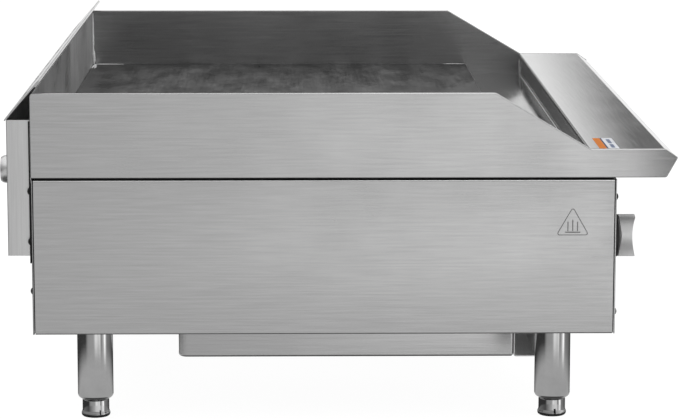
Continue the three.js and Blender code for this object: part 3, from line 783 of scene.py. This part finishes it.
grease_tray()
tray_pull()


# ---- Knobs ----

KNOB_RADIUS = 23.5
KNOB_FRONT = -37.2
SCOOP_RADIUS, SCOOP_REST = 48.0, 4.5  # the grip's sides, and half its width at the waist
DISH_RADIUS, DISH_DEPTH = 95.0, 2.2


def knob(i):
    low, high = extent(f"valve_stem_{i}")
    centre = ((low.x + high.x) / 2, FRONT, (low.z + high.z) / 2)
    body = f"knob_{i}"
    rim, dome = -19.0, -23.0
    skirt = [(0, dome), (5, dome), (KNOB_RADIUS - 1.2, rim - 0.1), (KNOB_RADIUS, rim + 1.2),
             (KNOB_RADIUS, -5), (KNOB_RADIUS - 1.8, -3.2), (0, -3.2)]
    bm = bmesh.new()
    lathe(bm, skirt, "y", centre, 96)
    obj = piece(f"knob_skirt_ring_{i}", bm, black_plastic, body, [f"knob_skirt_{i}"])
    bore = [(0, -21), (4.3, -21), (4.3, 5), (0, 5)]
    carve(obj, lambda cutter: lathe(cutter, bore, "y", centre, 32))

    front = KNOB_FRONT
    radius = KNOB_RADIUS - GAP
    bm = bmesh.new()
    lathe(bm, [(0, front), (radius, front), (radius, -10), (0, -10)], "y", centre, 128)
    obj = piece(f"knob_grip_bar_{i}", bm, satin, body, [f"knob_grip_{i}"], (0, 0, 1))

    def scoops(cutter):
        for side in (LEFT, RIGHT):
            reach = SCOOP_RADIUS
            middle = (centre[0] + side * (reach + SCOOP_REST), centre[1], centre[2])
            lathe(cutter, [(0, front - 5), (reach, front - 5), (reach, 5), (0, 5)], "y", middle, 192)

    def dish(cutter):
        reach = DISH_RADIUS
        middle = (centre[0], centre[1] + front - reach + DISH_DEPTH, centre[2])
        lathe(cutter, [(0, -40), (reach, -40), (reach, 40), (0, 40)], "x", middle, 256)

    def seat(cutter):
        cone = [(0, dome - GAP), (5, dome - GAP), (KNOB_RADIUS, rim - GAP)]
        cone += [(40, rim - GAP), (40, 1), (0, 1)]
        lathe(cutter, cone, "y", centre, 96)

    for build in (scoops, dish, seat):
        carve(obj, build, grain=(0, 0, 1))
    round_edges(obj, 0.7, 3)


for number in KNOBS:
    knob(number)


# ---- Legs ----

LEG_RADIUS = 19.05
LEG_EDGE = 4.9
SLEEVE_BASE = -82.0
FOOT_RADIUS = 14.3
FOOT_FLARE = 15.4


BORE, STEM = 8.3, 8.0
FOOT_TOP = -83.0


def leg(name):
    low, high = extent(f"foot_pad_{name}")
    centre = ((low.x + high.x) / 2, (low.y + high.y) / 2, 0)
    edge_angles = [math.radians(15 * k) for k in range(7)]
    sleeve = [(0, -GAP), (LEG_RADIUS, -GAP)]
    sleeve += [(LEG_RADIUS - LEG_EDGE * (1 - math.cos(a)), SLEEVE_BASE + LEG_EDGE * (1 - math.sin(a)))
               for a in edge_angles]
    sleeve += [(BORE, SLEEVE_BASE), (BORE, -12), (0, -12)]
    bm = bmesh.new()
    lathe(bm, sleeve, "z", centre, 96)
    piece(f"leg_tube_{name}", bm, chrome, BODY, [f"leg_sleeve_{name}"])
    foot_low = extent(f"leg_foot_{name}")[0].z
    foot = [(0, -28), (STEM, -30), (STEM, FOOT_TOP), (FOOT_RADIUS - 0.7, FOOT_TOP)]
    foot += [(FOOT_RADIUS, FOOT_TOP - 0.7)]
    foot += [(FOOT_RADIUS, foot_low + 3.5), (FOOT_RADIUS + 0.4, foot_low + 2.2)]
    foot += [(FOOT_FLARE - 0.1, foot_low + 0.9), (FOOT_FLARE, foot_low), (0, foot_low)]
    bm = bmesh.new()
    lathe(bm, foot, "z", centre, 96)
    piece(f"leg_foot_cup_{name}", bm, chrome, f"foot_{name}", [f"leg_foot_{name}"])
    top = foot_low - GAP
    pad = [(0, top), (FOOT_FLARE - 0.1, top), (FOOT_FLARE, top - 0.8)]
    pad += [(FOOT_FLARE - 0.6, COUNTER + 0.8), (FOOT_FLARE - 1.6, COUNTER), (0, COUNTER)]
    bm = bmesh.new()
    lathe(bm, pad, "z", centre, 96)
    piece(f"leg_pad_{name}", bm, black_rubber, f"foot_{name}", [f"foot_pad_{name}"])


for name in FEET:
    leg(name)


# ---- Gas inlet ----


def gas_inlet():
    low, high = extent("gas_inlet_coupling")
    centre = ((low.x + high.x) / 2, 0, (low.z + high.z) / 2)
    bore, radius = 13.65, 18.5
    outline = [(bore, low.y), (radius - 1.6, low.y), (radius, low.y + 1.6), (radius, high.y - 6)]
    outline += [(radius - 0.7, high.y - 3), (radius - 2.5, high.y)]
    outline += [(bore + 0.8, high.y), (bore, high.y - 0.8)]
    bm = bmesh.new()
    lathe(bm, outline, "y", centre, 96)
    piece("gas_inlet_socket", bm, nickel, BODY, ["gas_inlet_coupling"])
    low, high = extent("supply_pipe")
    inside, outside, chamfer = 10.5, 13.35, 0.6
    pipe = [(inside, low.y), (outside, low.y), (outside, high.y - chamfer)]
    pipe += [(outside - chamfer, high.y), (inside, high.y)]
    bm = bmesh.new()
    lathe(bm, pipe, "y", centre, 64)
    piece("gas_supply_tube", bm, black_pipe, BODY, ["supply_pipe"])


gas_inlet()


# ---- Screws, welds and label ----


def screw_mesh():
    """A truss head with a cross recess, standing out along +Z from the origin."""
    radius, height = 3.75, 2.6
    dome = [(0, height)] + [(radius * math.sin(a), height * math.cos(a)) for a in
                            (math.radians(11.25 * k) for k in range(1, 8))]
    dome += [(radius, 0.3), (radius, 0.0), (0, 0.0)]
    bm = bmesh.new()
    lathe(bm, dome, "z", (0, 0, 0), 40)
    bmesh.ops.translate(bm, verts=bm.verts, vec=-ORIGIN)
    mesh = bpy.data.meshes.new("screw_head")
    bm.to_mesh(mesh)
    bm.free()
    return mesh


SCREW = screw_mesh()


def screw(name, centre, direction, metal=None):
    mesh = SCREW.copy()
    turn = Vector((0, 0, 1)).rotation_difference(Vector(direction)).to_matrix().to_4x4()
    mesh.transform(Matrix.Translation(ORIGIN + Vector(centre) * MM) @ turn)
    obj = bpy.data.objects.new(name, mesh)
    bpy.context.scene.collection.objects.link(obj)
    mesh.materials.append(metal or screw_metal)
    finish_mesh(obj)
    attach(obj, BODY)
    reach, half = 1.9, 0.35
    slot_at = [(-reach, reach, -half, half), (-half, half, -reach, reach)]

    def cross(cutter):
        for u0, u1, v0, v1 in slot_at:
            loops = []
            for height in (1.5, 4.0):
                corners = [(u0, v0), (u1, v0), (u1, v1), (u0, v1)]
                points = [turn @ Vector((a, b, height)) * MM for a, b in corners]
                loops.append([ORIGIN + Vector(centre) * MM + p for p in points])
            loops_to_mesh(cutter, loops)

    carve(obj, cross)
    return obj


SIDES = ((LEFT, "left"), (RIGHT, "right"))
PANEL_SCREW_INSET, FLUE_SCREW_INSET = 10.0, 6.8

for side, label in SIDES:
    for row, z, metal in (("upper", 144.0, dark_screw), ("lower", 22.0, screw_metal)):
        screw(f"front_screw_{label}_{row}", (side * (HALF - PANEL_SCREW_INSET), FRONT, z), (0, -1, 0), metal)
    for row, z in (("upper", 151.0), ("middle", 98.0)):
        flange = (side * (HALF - FLUE_SCREW_INSET), 1.5, z)
        screw(f"flue_screw_{label}_{row}", flange, (0, 1, 0), dark_screw)
    corner = (side * (HALF - PANEL_SCREW_INSET), 0, 45.0)
    screw(f"rear_screw_{label}", corner, (0, 1, 0), dark_screw)
for i in range(6):
    screw(f"flue_base_screw_{i + 1}", ((i - 2.5) * 160.0, FLUE_LOW.y, FLUE_FLOOR - 3), (0, 1, 0))


def weld(name, start, end, radius, seed, pitch=1.1, wander=0.25):
    """A fine bead of overlapping ripples along a seam."""
    rng = random.Random(seed)
    a, b = Vector(start), Vector(end)
    count = max(int((b - a).length / pitch), 2)
    path, radii = [], []
    for i in range(count + 1):
        drift = Vector((rng.uniform(-1, 1), rng.uniform(-1, 1), rng.uniform(-1, 1))) * wander * radius
        path.append(a.lerp(b, i / count) + drift)
        taper = min(1.0, 0.35 + 3.0 * min(i, count - i) / count)
        radii.append(radius * taper * rng.uniform(0.7, 1.15))
    bm = bmesh.new()
    tube(bm, path, radii, 8)
    return piece(name, bm, weld_painted_glint)


REAR_CORNER_Y = PLATE_REAR - 0.2
TACK_LENGTH = 30


def painted_glint_star(label, side, seed):
    """A painted glint: a star of bright white beads on the plate around the foot of the rear corner's weld,
    standing in for a specular flare.
    """
    rng = random.Random(seed)
    foot = Vector((side * (PLATE_HALF - 2.5), PLATE_REAR - 3.5, PLATE_TOP + 0.1))
    # Painted glint: white rays and a tail spread from the weld's foot, and the foot itself is made thick and
    # bright.
    for k in range(7):
        inwards = -side * rng.uniform(14, 48)
        forwards = -rng.uniform(-4, 10)
        tip = foot + Vector((inwards, forwards, 0))
        tip.y = min(tip.y, PLATE_REAR - 1.0)
        weld(f"painted_glint_ray_{label}_{k + 1}", foot, tip, 0.9, seed + 10 + k, 1.5)
    weld(f"painted_glint_tail_{label}", foot, foot + Vector((0, -38, 0)), 0.5, seed + 20, 1.5)
    weld(f"painted_glint_weld_blob_{label}", foot + Vector((0, 2, 0)), foot + Vector((0, 2, 18)), 1.6, seed + 30, 1.2)


for side, label in SIDES:
    x = side * PLATE_HALF
    weld(f"rear_corner_weld_{label}", (x - side * 0.5, REAR_CORNER_Y, PLATE_TOP),
         (x - side * 0.5, REAR_CORNER_Y, GUARD_TOP - 3), 1.3, 11 + side)
    for place_name, start in (("rear", PLATE_REAR - 4), ("front", PLATE_FRONT + 31)):
        ends = (x, start, PLATE_TOP), (x, start - TACK_LENGTH, PLATE_TOP)
        weld(f"plate_tack_{place_name}_{label}", *ends, 0.4, 21 + side, 1.8)
    weld(f"trough_corner_weld_{label}", (x, TROUGH_FRONT + 1, TOP_BASE + SHEET),
         (x, TROUGH_FRONT + 1, SHELF_TOP - 6), 0.8, 31 + side)
    painted_glint_star(label, side, 51 + side)

trough_weld = (PLATE_HALF - 1, TROUGH_FRONT + 1.2, TOP_BASE + SHEET + 1)
weld("trough_front_weld", (-trough_weld[0], *trough_weld[1:]), trough_weld, 0.8, 71, 2.5)


def label_piece(name, x, y, thickness, material):
    bm = bmesh.new()
    base = SHELF_TOP - GAP
    prism(bm, rectangle(x, y, 1.2), "z", base, base + thickness)
    return piece(name, bm, material)


label_piece("shelf_label_orange", (-454, -375), (-598.5, -590.8), 0.12, label_orange)
label_piece("shelf_label_white", (-452, -374), (-611.5, -600.2), 0.12, label_white)
label_piece("shelf_label_divider", (-453, -375), (-600.2, -598.5), 0.13, label_ink)
for number, across in enumerate(((-446.0, -420.0), (-414.0, -384.0)), 1):
    label_piece(f"shelf_label_bar_{number}", across, (-608.0, -604.0), 0.14, label_ink)


# ---- Materials of the CAD nodes that show as they are ----

CAD_MATERIALS = {
    seal_black: ["top_gasket"],
    inner_steel: [
        "bottom_pan", "grease_chute", "front_heat_baffle", "left_heat_shield", "right_heat_shield",
        "front_burner_rail", "rear_burner_rail", "left_tray_rail", "right_tray_rail",
        *(f"burner_{i}" for i in KNOBS),
    ],
    black_pipe: ["gas_manifold", "manifold_elbow"],
    brass: [f"{part}_{i}" for part in ("gas_valve", "pilot", "valve_stem") for i in KNOBS],
}
for material, names in CAD_MATERIALS.items():
    for name in names:
        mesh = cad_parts[name].data
        mesh.materials.clear()
        mesh.materials.append(material)


# ---- Camera, floor and light ----


CAMERA_PLACE = Vector((-3.3150, 0.0068, 0.7100))
CAMERA_FORWARD = Vector((0.98627, -0.01681, -0.16428))
CAMERA_ROLL = math.radians(0.054)
CAMERA_LENS = 147.83


def camera():
    data = bpy.data.cameras.new("camera")
    data.sensor_width = 36.0
    data.lens = CAMERA_LENS
    data.clip_end = 50.0
    obj = bpy.data.objects.new("camera", data)
    forward, roll = CAMERA_FORWARD, CAMERA_ROLL
    level = forward.cross(Vector((0, 0, 1))).normalized()
    upright = level.cross(forward)
    right = level * math.cos(roll) + upright * math.sin(roll)
    up = upright * math.cos(roll) - level * math.sin(roll)
    turn = Matrix((right, up, -forward)).transposed()
    obj.matrix_world = Matrix.Translation(CAMERA_PLACE) @ turn.to_4x4()
    bpy.context.scene.collection.objects.link(obj)
    bpy.context.scene.camera = obj


def floor():
    bm = bmesh.new()
    bmesh.ops.create_grid(bm, x_segments=1, y_segments=1, size=12.0)
    mesh = bpy.data.meshes.new("floor")
    bm.to_mesh(mesh)
    bm.free()
    obj = bpy.data.objects.new("floor", mesh)
    bpy.context.scene.collection.objects.link(obj)
    material, tree, shader = start_material("pale_floor", Roughness=0.9)
    shader.inputs["Base Color"].default_value = (0.15, 0.15, 0.15, 1)
    shader.inputs["Specular IOR Level"].default_value = 0.0
    shader.inputs["Emission Color"].default_value = (1, 1, 1, 1)
    shader.inputs["Emission Strength"].default_value = 0.96
    mesh.materials.append(material)
    obj.visible_glossy = False
    obj.visible_diffuse = False


def gradient(tree, fac, stops):
    """A colour ramp of (position, brightness) stops."""
    node = add_node(tree, "ShaderNodeValToRGB", {"Fac": fac})
    elements = node.color_ramp.elements
    while len(elements) > 1:
        elements.remove(elements[-1])
    elements[0].position, elements[0].color = stops[0][0], (*grey(stops[0][1]), 1)
    for position, level in stops[1:]:
        elements.new(position).color = (*grey(level), 1)
    return node.outputs["Color"]


def turned(degrees, level):
    """A stop of the studio's surround. 0 degrees is the camera's side, 90 the cook's side."""
    return ((degrees % 360) / 360, level)


def studio():
    """A soft surround: bright and dark cards by direction, a white sweep for the camera."""
    world = bpy.data.worlds.new("studio")
    bpy.context.scene.world = world
    world.use_nodes = True
    tree = world.node_tree
    tree.nodes.clear()
    direction = add_node(tree, "ShaderNodeTexCoord").outputs["Generated"]
    split = add_node(tree, "ShaderNodeSeparateXYZ", {0: direction})
    x, y, z = split.outputs
    cookwards = math_node(tree, "MULTIPLY", y, -1.0)
    camerawards = math_node(tree, "MULTIPLY", x, -1.0)
    angle = math_node(tree, "ARCTAN2", cookwards, camerawards)
    turns = math_node(tree, "DIVIDE", angle, 2 * math.pi)
    share = math_node(tree, "FRACT", math_node(tree, "ADD", turns, 1.0), 0)
    below = gradient(tree, share, sorted([
        turned(-60, 0.05), turned(-47, 0.33), turned(-40, 0.42), turned(-20, 0.46), turned(-8, 0.48),
        turned(-3, 0.59), turned(-0.1, 0.67), turned(4, 0.92), turned(7, 1.2), turned(20, 1.0),
        turned(26, 0.88), turned(31, 1.05), turned(37, 1.05), turned(41, 0.4), turned(47, 0.36),
        turned(54, 0.6), turned(61, 0.8), turned(66, 1.7), turned(71, 1.7), turned(77, 0.8),
        turned(84, 0.3), turned(110, 0.22), turned(150, 0.05),
    ]))
    level_band = gradient(tree, share, sorted([
        turned(-60, 0.1), turned(-20, 0.45), turned(-0.1, 0.66), turned(8, 0.86), turned(35, 1.0),
        turned(50, 0.5), turned(68, 1.4), turned(84, 0.3), turned(150, 0.3), turned(160, 0.95),
        turned(185, 0.95), turned(195, 0.3),
    ]))
    above = gradient(tree, share, sorted([
        turned(0, 0.3), turned(40, 0.5), turned(90, 0.9), turned(150, 0.15), turned(173.7, 0.15),
        turned(175.0, 0.92), turned(178.5, 0.92), turned(179.5, 0.3), turned(300, 0.3),
    ]))

    def blend(fac, low, high):
        mix = add_node(tree, "ShaderNodeMix", data_type="RGBA")
        tree.links.new(fac, mix.inputs["Factor"])
        for socket, value in ((mix.inputs[MIX_A], low), (mix.inputs[MIX_B], high)):
            if isinstance(value, bpy.types.NodeSocket):
                tree.links.new(value, socket)
            else:
                socket.default_value = (*grey(value), 1)
        return mix.outputs[MIX_RESULT]

    colour = blend(ramp(tree, z, 0, 1, -0.8, -0.65), 0.08, 0.55)
    colour = blend(ramp(tree, z, 0, 1, -0.28, -0.24), colour, below)
    colour = blend(ramp(tree, z, 0, 1, -0.13, -0.1), colour, level_band)
    colour = blend(ramp(tree, z, 0, 1, 0.08, 0.1), colour, above)
    colour = blend(ramp(tree, z, 0, 1, 0.35, 0.75), colour, 0.9)
    seen = add_node(tree, "ShaderNodeLightPath").outputs["Is Camera Ray"]
    colour = blend(seen, colour, 1.0)
    back = add_node(tree, "ShaderNodeBackground", {"Color": colour, "Strength": 1.0})
    add_node(tree, "ShaderNodeOutputWorld", {"Surface": back.outputs[0]})


def dark_card():
    """A matt black board beside the front, seen only in reflections."""
    bm = bmesh.new()
    x, (near, far), (low, high) = -1.46, (-0.505, -0.9), (0.02, 1.0)
    corners = [(x, near, low), (x, far, low), (x, far, high), (x, near, high)]
    bm.faces.new([bm.verts.new(corner) for corner in corners])
    mesh = bpy.data.meshes.new("dark_card")
    bm.to_mesh(mesh)
    bm.free()
    obj = bpy.data.objects.new("dark_card", mesh)
    bpy.context.scene.collection.objects.link(obj)
    material = start_material("card_black", Roughness=1.0)[0]
    material.node_tree.nodes["Principled BSDF"].inputs["Base Color"].default_value = (0.01, 0.01, 0.01, 1)
    mesh.materials.append(material)
    obj.visible_camera = False


def soft_light():
    data = bpy.data.lights.new("overhead_soft_light", "AREA")
    data.energy = 12.0
    data.size = 2.0
    obj = bpy.data.objects.new("overhead_soft_light", data)
    obj.location = (-0.8, -0.8, 2.6)
    obj.rotation_euler = (Vector((0, 0, 0.2)) - obj.location).to_track_quat("-Z", "Y").to_euler()
    bpy.context.scene.collection.objects.link(obj)


camera()
floor()
studio()
dark_card()
soft_light()
bpy.context.scene.view_settings.view_transform = "Standard"
